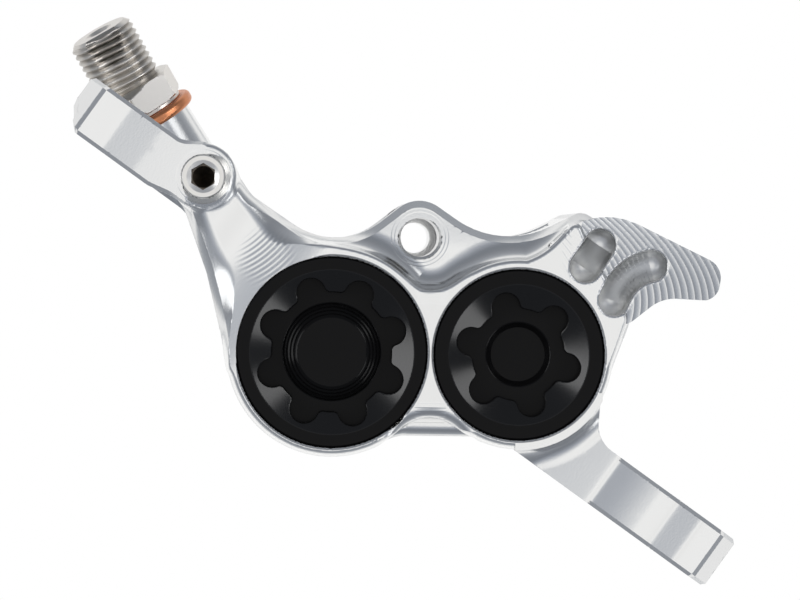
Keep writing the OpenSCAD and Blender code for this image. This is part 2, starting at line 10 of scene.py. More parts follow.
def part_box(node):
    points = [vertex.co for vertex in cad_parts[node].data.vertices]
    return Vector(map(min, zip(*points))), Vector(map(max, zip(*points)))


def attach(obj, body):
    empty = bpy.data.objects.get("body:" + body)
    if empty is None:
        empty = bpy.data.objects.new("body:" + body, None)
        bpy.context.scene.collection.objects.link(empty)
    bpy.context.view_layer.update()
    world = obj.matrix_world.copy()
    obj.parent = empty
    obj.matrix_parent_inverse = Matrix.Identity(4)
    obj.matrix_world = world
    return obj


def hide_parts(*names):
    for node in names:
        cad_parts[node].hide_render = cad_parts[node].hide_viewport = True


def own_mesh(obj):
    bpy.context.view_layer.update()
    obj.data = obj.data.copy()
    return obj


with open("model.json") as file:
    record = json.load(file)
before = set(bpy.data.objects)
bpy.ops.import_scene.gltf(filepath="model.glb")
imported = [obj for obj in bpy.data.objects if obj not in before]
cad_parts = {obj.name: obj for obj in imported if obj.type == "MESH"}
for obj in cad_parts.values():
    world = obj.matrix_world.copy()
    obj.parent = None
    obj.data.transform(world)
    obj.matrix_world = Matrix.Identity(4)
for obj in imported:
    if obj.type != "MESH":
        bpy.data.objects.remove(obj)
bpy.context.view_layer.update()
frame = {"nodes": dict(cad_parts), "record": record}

# The script works in millimetres of the pad frame: u runs through both bores, v points away from the
# wheel axle and y runs along the axle, with the capped side at -y. The row frame is the solids' own.
MM = 0.001
TILT = math.radians(35)
COS, SIN = math.cos(TILT), math.sin(TILT)
DIAGONAL = math.sqrt(0.5)
COARSE = 1


def to_row(points):
    """Points of the pad frame in mm, as points of the row frame in metres."""
    u, v, y = points.T
    return np.stack([u * COS - v * SIN, y, u * SIN + v * COS], axis=1) * MM


def pad(x, z):
    """A point of the row frame, in the pad frame."""
    return (x * COS + z * SIN, z * COS - x * SIN)


def box_mm(node):
    """Lowest and highest corner of a solid, in mm of the row frame."""
    return np.round(np.array(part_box(node)) / MM, 2).tolist()


def mount_mm(name):
    """Place of a mount in mm of the row frame, and its sizes."""
    mount = next(row for row in frame["record"]["mounts"] if row["name"] == name)
    return [round(c / MM, 4) for c in mount["pos_m"]], mount["dims"]


# Places and sizes that the solids and their mounts give
(UPPER_TIP, FRONT, _), (LOWER_TIP, BACK, _) = box_mm("caliper_body")
CAP_FACE, CAP_SEAT = (corner[1] for corner in box_mm("large_bore_cap"))
SCREW_TOP, SCREW_END = (corner[1] for corner in box_mm("bleed_screw"))
(UPPER_BOLT, BOLT_Y, EAR_LOW), BOLT_SIZE = mount_mm("upper_post_slot")
(LOWER_BOLT, _, _), _ = mount_mm("lower_post_slot")
BOLT_R = BOLT_SIZE["hole_r_mm"]
BOLT_PLAY = round(BOLT_SIZE["slot_length_mm"] / 2 - BOLT_R, 4)
(PIN_X, _, PIN_Z), PIN_SIZE = mount_mm("pad_pin_bore")
PIN = [round(c, 2) for c in pad(PIN_X, PIN_Z)]
PIN_R = PIN_SIZE["r_mm"]
PIN_THREAD_R = mount_mm("pad_pin_thread")[1]["r_mm"]

# Levels along the axle: the deck under the raised face, the shoulder behind, and the ears
DECK, SHOULDER, PAD_WALL = -15.5, 15.5, 6.2
EAR_BACK, EAR_TOP = -2.5, 3.3
# Bores: middles on the u axis, and radii of the rims, caps, cap seats and piston bores
LARGE, SMALL = -10.2, 10.2
LARGE_RIM, SMALL_RIM = 11.5, 10.4
LARGE_CAP, SMALL_CAP = 10.4, 9.3
LARGE_SEAT, SMALL_SEAT = 10.45, 9.35
LARGE_BORE, SMALL_BORE = 9.05, 8.05
SEAL_DEEP, SEAL_AT, SEAL_HALF = 1.05, 8.8, 0.95
# Bleed screw's boss
BLEED, BLEED_FACE, BLEED_BOSS_R = (-24.5, 18.9), -17.2, 3.65
SPOT_LEAN = math.radians(24)
# Ends of the ears, and the crease across the lower arm
EDGE_LEG, TIP_LONG, TIP_LEAN = 0.5, 1.8, math.radians(60)
UPPER_EAR_TO, LOWER_EAR_FROM, CREASE = -36, 32, 24.2
# Hollow across the upper arm, round notch between the bores, and gallery plug's hole
HOLLOW, HOLLOW_R, HOLLOW_DEEP = (-19.6, 15.2), 15, 1.9
NOTCH, NOTCH_R = (0.6, -11.4), 4.35
PLUG, PLUG_R, PLUG_FROM = (-21.4, 9.4), 1.6, 13.5
# Slit for the rotor, round the wheel axle
AXLE_V, ROTOR_R, ROTOR_HALF = -81, 91.2, 2.2
# Wing, with the pitch and height of the ridges that its cutter left, and the radius of its pockets
WING_SLOPE, WING_TOP, WING_START, WING_BACK = math.radians(14), -18.1, 16.8, -9.6
RIDGE_PITCH, RIDGE_HEIGHT = 0.76, 0.028
POCKET_R = 1.7
# Hose port: where the washer seats, its axis, its boss and the stem's hole
PORT_SEAT = (-30.9, 25.3, 4.6)
PORT_TURN, PORT_LEAN = math.radians(120.6), math.radians(11.5)
PORT_WAY = np.array([math.cos(PORT_TURN) * math.cos(PORT_LEAN), math.sin(PORT_TURN) * math.cos(PORT_LEAN),
                     -math.sin(PORT_LEAN)])
PORT_R, PORT_TAPER, PORT_LONG = 4.6, 0.6 / 16, 16
STEM_HOLE_R, STEM_HOLE_DEEP = 2.95, 6.55


# Outlines and signed distances

def rounded(corners, steps=10):
    """Points of a closed outline whose corners are (u, v, radius)."""
    points = []
    for k, (u, v, r) in enumerate(corners):
        here = np.array((u, v))
        if r == 0:
            points.append(here)
            continue
        back = np.array(corners[k - 1][:2]) - here
        ahead = np.array(corners[(k + 1) % len(corners)][:2]) - here
        back, ahead = back / np.linalg.norm(back), ahead / np.linalg.norm(ahead)
        half = math.acos(float(back @ ahead)) / 2
        hub = here + (back + ahead) / np.linalg.norm(back + ahead) * r / math.sin(half)
        start = here + back * r / math.tan(half) - hub
        end = here + ahead * r / math.tan(half) - hub
        turn = math.atan2(start[1], start[0])
        sweep = (math.atan2(end[1], end[0]) - turn + math.pi) % (2 * math.pi) - math.pi
        for a in np.linspace(turn, turn + sweep, steps + 1):
            points.append(hub + r * np.array((math.cos(a), math.sin(a))))
    return np.array(points)


class Outline:
    """Signed distance to a closed flat outline, kept on a fine grid and read between its points."""

    STEP = 0.125
    LOW = (-40.0, -30.0)
    SIZE = (608, 512)

    def __init__(self, corners):
        points = rounded(corners)
        u = (self.LOW[0] + self.STEP * np.arange(self.SIZE[0]))[:, None]
        v = (self.LOW[1] + self.STEP * np.arange(self.SIZE[1]))[None, :]
        near = np.full(self.SIZE, 1e9)
        inside = np.zeros(self.SIZE, bool)
        for (au, av), (bu, bv) in zip(points, np.roll(points, -1, axis=0)):
            du, dv = bu - au, bv - av
            t = np.clip(((u - au) * du + (v - av) * dv) / max(du * du + dv * dv, 1e-12), 0, 1)
            near = np.minimum(near, (u - au - t * du) ** 2 + (v - av - t * dv) ** 2)
            if av != bv:
                inside ^= ((av > v) != (bv > v)) & (u < du * (v - av) / dv + au)
        self.field = np.where(inside, -1, 1) * np.sqrt(near)

    def __call__(self, u, v):
        i = np.clip((u - self.LOW[0]) / self.STEP, 0, self.SIZE[0] - 1.001)
        j = np.clip((v - self.LOW[1]) / self.STEP, 0, self.SIZE[1] - 1.001)
        i, j = np.broadcast_arrays(i, j)
        a, b = i.astype(int), j.astype(int)
        s, t = i - a, j - b
        f = self.field
        low = f[a, b] * (1 - t) + f[a, b + 1] * t
        return low * (1 - s) + (f[a + 1, b] * (1 - t) + f[a + 1, b + 1] * t) * s


def join(*parts):
    """Union."""
    out = parts[0]
    for part in parts[1:]:
        out = np.minimum(out, part)
    return out


def weld(a, b, r):
    """Union with a concave fillet of radius r."""
    return np.maximum(r, np.minimum(a, b)) - np.hypot(np.maximum(r - a, 0), np.maximum(r - b, 0))


def meet(a, b, r):
    """What both hold, with the edge between them rounded to radius r."""
    return np.minimum(-r, np.maximum(a, b)) + np.hypot(np.maximum(r + a, 0), np.maximum(r + b, 0))


def bevel(a, b, leg, soft=0.0):
    """What both hold, with a chamfer of that leg between them and its edges softened."""
    flat = (a + b + leg) * DIAGONAL
    if soft:
        return np.maximum(meet(a, flat, soft), meet(b, flat, soft))
    return np.maximum(np.maximum(a, b), flat)


def between(x, low, high, soft=0.12):
    """How far x has come from low to high, with soft ends."""
    return soft * (np.logaddexp(0, (x - low) / soft) - np.logaddexp(0, (x - high) / soft))


def to_path(u, v, path):
    """Distance to a path of (u, v, y) points seen along y, and the path's y beside each place."""
    near, depth = None, None
    for (au, av, ay), (bu, bv, by) in zip(path, path[1:]):
        du, dv = bu - au, bv - av
        t = np.clip(((u - au) * du + (v - av) * dv) / (du * du + dv * dv), 0, 1)
        gap = np.hypot(u - au - t * du, v - av - t * dv)
        y = ay + t * (by - ay)
        if near is None:
            near, depth = gap, y
        else:
            depth = np.where(gap < near, y, depth)
            near = np.minimum(near, gap)
    return near, depth


# One-piece body, on outlines that follow the solids

WHOLE = Outline([
    (-27.5, 17.9, 0), (-22.1, 21.3, 0), (-19.2, 17, 3), (-9.7, 10.6, 8), (-0.9, 17.54, 3.6),
    (8.2, 11.3, 10), (17, 15.8, 1.5), (22.2, 12.8, 3), (22.4, 3.6, 2.5), (19.2, -5, 0), (9.2, -9.2, 0),
    (-9.2, -9.2, 0), (-21.45, -2, 0), (-24, 8.4, 8)])
FACE = Outline([
    (-26.1, 16.4, 0), (-21.5, 19.9, 0), (-16.8, 13.1, 3), (-11.2, 11.7, 6), (-5.2, 9.9, 12), (0.4, 6.0, 4.5),
    (5.2, 9.4, 9), (12.2, 10.4, 8), (16.4, 15, 0.8), (18.2, 10.9, 3), (22.2, 4.2, 1), (19.2, -5, 0),
    (9.2, -9, 0), (-9.2, -9, 0), (-21.5, -2, 0), (-22.3, 8.5, 4)])
WING = Outline([
    (13.2, 12, 0), (18.2, 16.7, 8), (32.7, 9.95, 2.2), (32.1, 6.15, 1.8), (25.9, 6.4, 4.5), (22.6, 3.8, 2),
    (16.2, 1, 0)])
LOWER_ARM = Outline([
    (10.2, -4, 0), (19.4, -4, 0), (*pad(21.1, EAR_TOP), 3.5), (*pad(36, EAR_TOP), 0), (*pad(36, EAR_LOW), 0),
    (*pad(14.1, EAR_LOW), 0)])
UPPER_ARM = Outline([
    (*pad(-40, EAR_TOP), 0), (*pad(-35.3, EAR_TOP), 2), (-24.5, 22.55, 0), (-22.5, 18.9, 0),
    (-24.5, 15.25, 0), (*pad(-35.3, EAR_LOW), 2), (*pad(-40, EAR_LOW), 0)])
PAD_POCKET = Outline([
    (-19.4, -29, 0), (-19.4, 7.2, 0), (-18.4, 8.2, 0), (-15.4, 8.2, 0), (-15.4, 29, 0), (14.5, 29, 0),
    (14.5, 8.2, 0), (17.9, 8.2, 0), (18.9, 7.2, 0), (18.9, -29, 0)])


def pocket_path(start, pull, end, top, fall):
    """Path of (u, v, y) points that bends towards pull on its way and falls from top."""
    path = []
    for t in np.linspace(0, 1, 13):
        u, v = ((1 - t) ** 2 * a + 2 * t * (1 - t) * b + t * t * c for a, b, c in zip(start, pull, end))
        path.append((u, v, top + fall * t))
    return path


# Cooling pockets of the wing, as the path of a ball-nosed cutter
POCKETS = [
    [(18.9, 12.1, -16.4), (17.3, 9.7, -14.0)],
    pocket_path((24.7, 9.9), (21.7, 9.3), (20.5, 6.1), -15.4, 2.4),
]


def along_port(u, v, y):
    """Distance along the hose connector's axis from its seat, and distance from that axis."""
    du, dv, dy = u - PORT_SEAT[0], v - PORT_SEAT[1], y - PORT_SEAT[2]
    along = du * PORT_WAY[0] + dv * PORT_WAY[1] + dy * PORT_WAY[2]
    return along, np.sqrt(np.maximum(du * du + dv * dv + dy * dy - along * along, 0))


def front_form(u, v, y, large, small):
    """Raised face with its rounded edge, and the cove down to the deck, which leans back at the pin lug."""
    face = join(weld(FACE(u, v), large - LARGE_RIM, 0.6), small - SMALL_RIM)
    deck = DECK + 0.18 * between(v, 11.2, 18, 0.5)
    return meet(weld(face, deck - y, 2.7), FRONT - y, 0.6)


def body_halves(u, v, y, large, small):
    """Both halves with the chamfer along their contour, and the hollow across the upper arm."""
    outer = join(weld(WHOLE(u, v), large - LARGE_RIM, 0.8), small - SMALL_RIM)
    shape = bevel(bevel(front_form(u, v, y, large, small), outer, 0.75), y - SHOULDER, 0.5)
    # Bosses behind the bores
    for bore, r in ((large, LARGE_RIM - 1.2), (small, SMALL_RIM - 1.2)):
        shape = weld(shape, bevel(np.maximum(bore - r, -y), y - BACK, 0.5), 0.5)
    across = (u - HOLLOW[0]) * COS - (v - HOLLOW[1]) * SIN
    return meet(shape, HOLLOW_R - np.hypot(across, y - (FRONT - HOLLOW_R + HOLLOW_DEEP)), 1.6)


def ear_form(outline, front, tip, y):
    """An ear with its arm: flat outline, front surface, and an end of a narrow and a wide facet."""
    edge = (tip + TIP_LONG + front + EDGE_LEG) * DIAGONAL
    lean = (tip + TIP_LONG) * math.sin(TIP_LEAN) + (front + EDGE_LEG) * math.cos(TIP_LEAN)
    end = np.maximum(np.maximum(front, edge), np.maximum(lean, meet(tip, y - EAR_BACK, 2.6)))
    return bevel(end, outline, 0.42)


def ear_rise(x):
    """Front surface of the upper ear, which climbs to the bleed boss in a short ramp and a long one."""
    return DECK - 0.16 * between(x, -41.7, -37.5) - 0.11 * between(x, -37.5, -30)


def ear_wave(x):
    """Front surface of the lower ear: a climb to a crease, a hollow behind it and a low slope up again."""
    climb = between(x, 17.2, CREASE, 0.2)
    hollow = between(x, CREASE, 30.2, 0.2)
    slope = between(x, 32.3, 35.5, 0.15)
    return DECK + 2.1 - 0.3 * climb + 0.32 * (hollow - hollow * hollow / 17.2) - 0.37 * slope


def lower_arm(u, v, y, x, ear, small):
    """Lower arm and ear, with the foot that runs into the small bore's rim."""
    arm, front = LOWER_ARM(u, v), ear_wave(x) - y
    lower_ear = ear_form(join(arm, np.maximum(ear, LOWER_EAR_FROM - x)), front, x - LOWER_TIP, y)
    cove = np.maximum(weld(small - SMALL_RIM, front, 2.8), FRONT - y)
    return join(lower_ear, np.maximum(cove, np.maximum(np.maximum(arm, x - CREASE), y - EAR_BACK)))


def upper_arm(u, v, y, x, ear, bleed):
    """Upper arm and ear, rising to the bleed boss."""
    arm, front = join(UPPER_ARM(u, v), np.maximum(ear, x - UPPER_EAR_TO)), ear_rise(x) - y
    upper_ear = ear_form(weld(arm, bleed - BLEED_BOSS_R, 0.5), front, UPPER_TIP - x, y)
    boss = bevel(np.maximum(bleed - BLEED_BOSS_R, y - EAR_BACK), front, 0.3, 0.1)
    return join(upper_ear, boss)


def wing(u, v, y):
    """Wing, sloping back from the raised face."""
    lean = (WING_TOP - y) * math.cos(WING_SLOPE) + (u - WING_START) * math.sin(WING_SLOPE)
    return np.maximum(np.maximum(np.maximum(lean, FRONT + 0.4 - y), y - WING_BACK), WING(u, v))


def port_boss(along, off, z):
    """Conical boss of the hose port."""
    cone = off - PORT_R + PORT_TAPER * along
    return np.maximum(np.maximum(cone, along), np.maximum(-PORT_LONG - along, EAR_LOW - z))


def bore_room(bore, seat_r, piston_r, y):
    """Bore through both halves, with its cap's chamfered seat and the grooves of its piston seals."""
    mouth = np.maximum(bore - seat_r - np.clip(FRONT + 0.22 - y, 0, 1), y - CAP_SEAT)
    through = np.maximum(bore - piston_r, np.abs(y) + CAP_SEAT)
    groove = np.maximum(bore - piston_r - SEAL_DEEP, np.abs(np.abs(y) - SEAL_AT) - SEAL_HALF)
    return join(mouth, through, groove)


def pin_bore(u, v, y):
    """Bore for the pad pin with its chamfer in front, narrower in the back half."""
    bore_r = np.where(y < 0, PIN_R, PIN_THREAD_R)
    return np.hypot(u - PIN[0], v - PIN[1]) - bore_r - np.clip(DECK + 0.62 - y, 0, 0.3)


def screw_hole(bleed, y):
    """Countersink, counterbore and hole of the bleed screw."""
    spot = (bleed - 3.05) * math.sin(SPOT_LEAN) + (y - BLEED_FACE - 0.2) * math.cos(SPOT_LEAN)
    seat = np.maximum(bleed - 2.45, y - BLEED_FACE - 1.4)
    return join(spot, seat, np.maximum(bleed - 1.95, y + 9.2))


def caliper(u, v, y):
    """Signed distance of the one-piece body, about in millimetres."""
    x, z = u * COS - v * SIN, u * SIN + v * COS
    large, small = np.hypot(u - LARGE, v), np.hypot(u - SMALL, v)
    bleed = np.hypot(u - BLEED[0], v - BLEED[1])
    ear = np.abs(z - (EAR_LOW + EAR_TOP) / 2) - (EAR_TOP - EAR_LOW) / 2
    along, off = along_port(u, v, y)

    shape = join(body_halves(u, v, y, large, small), lower_arm(u, v, y, x, ear, small))
    shape = weld(shape, upper_arm(u, v, y, x, ear, bleed), 0.5)
    shape = weld(join(shape, wing(u, v, y)), port_boss(along, off, z), 0.8)

    for bore, seat_r, piston_r in ((large, LARGE_SEAT, LARGE_BORE), (small, SMALL_SEAT, SMALL_BORE)):
        shape = np.maximum(shape, -bore_room(bore, seat_r, piston_r, y))
    # Pad pocket with its window, and the slit for the rotor
    shape = meet(shape, -np.maximum(PAD_POCKET(u, v), np.abs(y) - PAD_WALL), 0.25)
    shape = np.maximum(shape, -np.maximum(np.hypot(u, v - AXLE_V) - ROTOR_R, np.abs(y) - ROTOR_HALF))
    notch = np.maximum(np.hypot(u - NOTCH[0], v - NOTCH[1]) - NOTCH_R, y - DECK - 1)
    shape = np.maximum(meet(shape, -notch, 1.4), -pin_bore(u, v, y))
    for path in POCKETS:
        near, depth = to_path(u, v, path)
        shape = meet(shape, POCKET_R - np.hypot(near, np.maximum(y - depth, 0)), 0.3)
    stem_hole = np.maximum(off - STEM_HOLE_R, -STEM_HOLE_DEEP - along)
    plug_hole = np.maximum(np.hypot(u - PLUG[0], v - PLUG[1]) - PLUG_R, PLUG_FROM - y)
    shape = np.maximum(shape, -join(screw_hole(bleed, y), stem_hole, plug_hole))
    for bolt in (UPPER_BOLT, LOWER_BOLT):
        slot = np.hypot(x - bolt, np.maximum(np.abs(y - BOLT_Y) - BOLT_PLAY, 0)) - BOLT_R
        shape = meet(shape, -np.maximum(slot, ear - 1), 0.3)
    return shape


# Meshes

# Distance at which a field's slope is read, turn between faces that counts as a sharp edge, and how far
# a point may move to it as a share of the grid's pitch
PROBE, EDGE_TURN, EDGE_REACH = 0.02, 0.85, 0.7


def slopes(field, points):
    """The field and its gradient at points."""
    value = field(*points.T)
    grad = np.empty_like(points)
    for k in range(3):
        step = np.zeros(3)
        step[k] = PROBE
        grad[:, k] = (field(*(points + step).T) - field(*(points - step).T)) / (2 * PROBE)
    return value, grad


def lengths(vectors):
    """Length of each vector, kept above zero."""
    return np.maximum(np.linalg.norm(vectors, axis=1), 1e-9)


def zero_mesh(field, low, high, pitch, adaptivity):
    """Points, triangles and quads of the field's zero surface, with the points settled on it."""
    axes = [np.arange(a - 2 * pitch, b + 3 * pitch, pitch) for a, b in zip(low, high)]
    u, v, y = axes[0][:, None, None], axes[1][None, :, None], axes[2][None, None, :]
    block = np.empty([len(a) for a in axes], np.float32)
    slab = 8
    for k in range(0, len(axes[0]), slab):
        block[k:k + slab] = field(u[k:k + slab], v, y)
    band = 3 * pitch
    grid = openvdb.FloatGrid(band)
    grid.copyFromArray(np.clip(block, -band, band))
    points, triangles, quads = grid.convertToPolygons(isovalue=0.0, adaptivity=adaptivity)
    points = points.astype(float) * pitch + np.array([a[0] for a in axes])
    for _ in range(3):
        value, grad = slopes(field, points)
        size = np.maximum((grad ** 2).sum(axis=1), 0.05)
        points -= (np.clip(value, -pitch, pitch) / size)[:, None] * grad
    return points, triangles, quads


def draw_to_edges(field, points, triangles, quads, pitch):
    """Moves the points beside a sharp edge to where the faces round them meet."""
    ends = np.concatenate([group[:, [k, (k + 1) % count]]
                           for group, count in ((quads, 4), (triangles, 3)) for k in range(count)])
    here, there = np.concatenate([ends[:, 0], ends[:, 1]]), np.concatenate([ends[:, 1], ends[:, 0]])
    hold = 0.05
    for _ in range(2):
        _, grad = slopes(field, points)
        flat = grad / lengths(grad)[:, None]
        level = (flat * points).sum(axis=1)
        turn = np.ones(len(points))
        np.minimum.at(turn, here, (flat[here] * flat[there]).sum(axis=1))
        edge = np.where(turn < EDGE_TURN)[0]
        place = np.full(len(points), -1)
        place[edge] = np.arange(len(edge))
        used = place[here] >= 0
        row, far = place[here[used]], there[used]
        left, right = np.zeros((len(edge), 3, 3)), np.zeros((len(edge), 3))
        np.add.at(left, row, flat[far][:, :, None] * flat[far][:, None, :])
        np.add.at(right, row, flat[far] * level[far][:, None])
        left += hold * np.eye(3)
        right += hold * points[edge]
        step = np.linalg.solve(left, right[:, :, None])[:, :, 0] - points[edge]
        moved = points[edge] + step * np.minimum(1, EDGE_REACH * pitch / lengths(step))[:, None]
        good = np.abs(field(*moved.T)) < 0.12 * pitch
        points[edge[good]] = moved[good]


def skin(field, low, high, pitch, adaptivity=0.0):
    """Mesh of the field's zero surface with its sharp edges: points, faces and corner normals."""
    points, triangles, quads = zero_mesh(field, low, high, pitch, adaptivity)
    draw_to_edges(field, points, triangles, quads, pitch)
    # Normals are read a little inside each face, so that they break at sharp edges
    normals = []
    for group in (triangles, quads):
        if len(group):
            corners = points[group]
            inside = 0.6 * corners + 0.4 * corners.mean(axis=1, keepdims=True)
            _, grad = slopes(field, inside.reshape(-1, 3))
            normals.append(grad / lengths(grad)[:, None])
    return points, triangles.tolist() + quads.tolist(), np.concatenate(normals)


def piece(name, points, faces, normals, body, node, slot):
    """A piece of the object from points of the pad frame, in place of a solid."""
    mesh = bpy.data.meshes.new(name)
    mesh.from_pydata(to_row(points).tolist(), [], faces)
    mesh.polygons.foreach_set("use_smooth", [True] * len(mesh.polygons))
    # Faces are turned outwards where the mesher wound them the other way
    first = mesh.polygons[len(mesh.polygons) // 2]
    turned = to_row(normals) / MM
    if Vector(turned[first.loop_start]).dot(first.normal) < 0:
        mesh.flip_normals()
        # Each face keeps its first corner when it is turned
        order = np.arange(len(turned))
        for face in mesh.polygons:
            start, count = face.loop_start, face.loop_total
            order[start + 1:start + count] = order[start + 1:start + count][::-1]
        turned = turned[order]
    mesh.normals_split_custom_set(turned.tolist())
    mesh.update()
    piece_object = bpy.data.objects.new(name, mesh)
    bpy.context.scene.collection.objects.link(piece_object)
    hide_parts(node)
    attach(piece_object, body)
    return piece_object


# Caps of the outer bores

CAP_FLOOR = CAP_FACE + 2.4
DISH_LEAN = math.radians(28)
LARGE_DISH, SMALL_DISH = 9.0, 7.7
LARGE_SOCKET, SMALL_SOCKET = 6.5, 5.0
# The large cap's raised middle, with turned steps, and the small cap's sunk middle
MIDDLE_TOP, MIDDLE_R, STEP_PITCH, STEP_HEIGHT = CAP_FACE + 0.4, 3.85, 0.5, 0.05
SINK_R, SINK_FLOOR = 2.95, CAP_FLOOR + 0.7


def cap(u, v, y, middle, cap_r, dish_r, socket_r, lobes, first, lobe_at, lobe_r):
    """Signed distance of a cap with seal groove, dished face and lobed socket, and distance from its axis."""
    du, dv = u - middle, v + 0 * u
    r = np.hypot(du, dv)
    shape = bevel(np.maximum(r - cap_r, y - CAP_SEAT), CAP_FACE - y, 0.22)
    groove = np.maximum(np.abs(y - CAP_SEAT + 1.65) - 0.45, cap_r - 0.9 - r)
    dish = (y - CAP_FACE) * math.cos(DISH_LEAN) - (dish_r - r) * math.sin(DISH_LEAN)
    shape = meet(np.maximum(shape, -groove), -np.maximum(dish, y - CAP_FLOOR), 0.05)
    part = 2 * math.pi / lobes
    turn = (np.arctan2(dv, du) - math.radians(first) + part / 2) % part - part / 2
    lobe = np.hypot(r * np.cos(turn) - lobe_at, r * np.sin(turn)) - lobe_r
    socket = np.maximum(weld(r - socket_r, lobe, 0.55), y - CAP_FLOOR)
    return meet(shape, -socket, 0.14), r


def large_cap(u, v, y):
    """Signed distance of the large cap, with a raised middle that is a cone turned in steps."""
    shape, r = cap(u, v, y, LARGE, LARGE_CAP, LARGE_DISH, LARGE_SOCKET, 8, 20, 6.85, 1.55)
    down = y - MIDDLE_TOP
    cone = (r - MIDDLE_R - 1.5 * down / (CAP_FLOOR - MIDDLE_TOP)) * 0.8
    cone = cone + STEP_HEIGHT * np.cos(2 * math.pi * down / STEP_PITCH) * np.clip(down / 0.3, 0, 1)
    return weld(shape, meet(np.maximum(cone, y - CAP_FLOOR - 0.3), MIDDLE_TOP - y, 0.15), 0.2)


def small_cap(u, v, y):
    """Signed distance of the small cap, with a sunk conical middle."""
    shape, r = cap(u, v, y, SMALL, SMALL_CAP, SMALL_DISH, SMALL_SOCKET, 6, 45.6, 5.38, 1.52)
    cone = (r - SINK_R - 1.1 * (SINK_FLOOR - y) / 1.3) * 0.76
    return meet(shape, -np.maximum(cone, y - SINK_FLOOR), 0.1)


def bleed_screw(u, v, y):
    """Signed distance of the bleed screw with its hexagon socket."""
    du, dv = u - BLEED[0], v - BLEED[1]
    r = np.hypot(du, dv)
    head = bevel(np.maximum(r - 2.38, y + 16.4), SCREW_TOP - y, 0.12)
    shank = np.maximum(np.maximum(r - 1.9, y - SCREW_END), SCREW_TOP + 0.3 - y)
    flats = np.maximum(np.abs(du), np.abs(du) / 2 + np.abs(dv) * math.sqrt(0.75)) - 1.28
    drill = np.maximum(r - 1.2, (y + 14.2 + 0.6 * (r - 1.2)) * 0.85)
    lead = (y - SCREW_TOP + 0.36 * (r - 1.8)) * 0.94
    return np.maximum(join(head, shank), -join(np.maximum(flats, y + 14.4), drill, lead))


# Hose connector with its washer, measured along its axis from the washer's seat

SIDE = np.array([math.sin(PORT_TURN), -math.cos(PORT_TURN), 0.0])
OVER = np.cross(PORT_WAY, SIDE)
STEM_R, STEM_FROM, STEM_TO = 2.9, -6.5, 11
COLLAR_R, COLLAR_AT, COLLAR_HALF = 4.5, 1.55, 0.25
HEX_FLAT, HEX_CORNER, HEX_TURN = 4.5, 4.75, 40
HEX_FROM, HEX_TO, HEX_AT, HEX_HALF = 1.8, 4.8, 3.3, 1.5
THREAD_R, THREAD_PITCH, THREAD_DEPTH = 3.8, 0.75, 0.3
THREAD_FROM, THREAD_LEAD, THREAD_TO = 4.7, 11.4, 12.0
NECK_R, NECK_AT, NECK_HALF = 3.35, 5.0, 0.25
FLUID_R, FLUID_NARROW_R, FLUID_STEP = 1.0, 0.8, 1.3
WASHER_R, WASHER_HOLE_R, WASHER_HALF = 5.5, 2.95, 0.65


def connector(u, v, y):
    """Signed distance of the hose connector: stem, collar, hexagon and free thread."""
    du, dv, dy = u - PORT_SEAT[0], v - PORT_SEAT[1], y - PORT_SEAT[2]
    along = du * PORT_WAY[0] + dv * PORT_WAY[1] + dy * PORT_WAY[2]
    p = du * SIDE[0] + dv * SIDE[1] + dy * SIDE[2]
    q = du * OVER[0] + dv * OVER[1] + dy * OVER[2]
    r = np.hypot(p, q)
    stem = np.maximum(np.maximum(r - STEM_R, STEM_FROM - along), along - STEM_TO)
    collar = bevel(r - COLLAR_R, np.abs(along - COLLAR_AT) - COLLAR_HALF, 0.1)
    angles = [math.radians(HEX_TURN + 30 + 60 * k) for k in range(3)]
    flats = np.maximum.reduce([np.abs(p * math.cos(a) + q * math.sin(a)) - HEX_FLAT for a in angles])
    lead = np.maximum((r - HEX_CORNER - (along - HEX_FROM) * 1.7) * 0.5,
                      (r - HEX_CORNER - (HEX_TO - along) * 1.7) * 0.5)
    hexagon = np.maximum(np.maximum(flats, lead), np.abs(along - HEX_AT) - HEX_HALF)
    turn = (along / THREAD_PITCH - np.arctan2(q, p) / (2 * math.pi)) % 1
    flank = np.clip(np.abs(turn - 0.5) * 2.5 - 0.18, 0, 1)
    crest = r - THREAD_R + THREAD_DEPTH * flank
    end = (r + along - THREAD_R - THREAD_LEAD) * DIAGONAL
    thread = np.maximum(np.maximum(crest * 0.7, end), np.maximum(along - THREAD_TO, THREAD_FROM - along))
    thread = np.maximum(thread, -np.maximum(NECK_R - r, np.abs(along - NECK_AT) - NECK_HALF))
    bore = join(r - np.where(along > FLUID_STEP, FLUID_R, FLUID_NARROW_R),
                (r - FLUID_R + THREAD_TO - along - 0.6) * DIAGONAL)
    return np.maximum(join(stem, collar, hexagon, thread), -bore)


def washer(u, v, y):
    """Signed distance of the crush washer under the connector, with rounded edges."""
    along, off = along_port(u, v, y)
    flat = np.abs(along - WASHER_HALF) - WASHER_HALF
    return meet(np.maximum(off - WASHER_R, WASHER_HOLE_R - off), flat, 0.5)


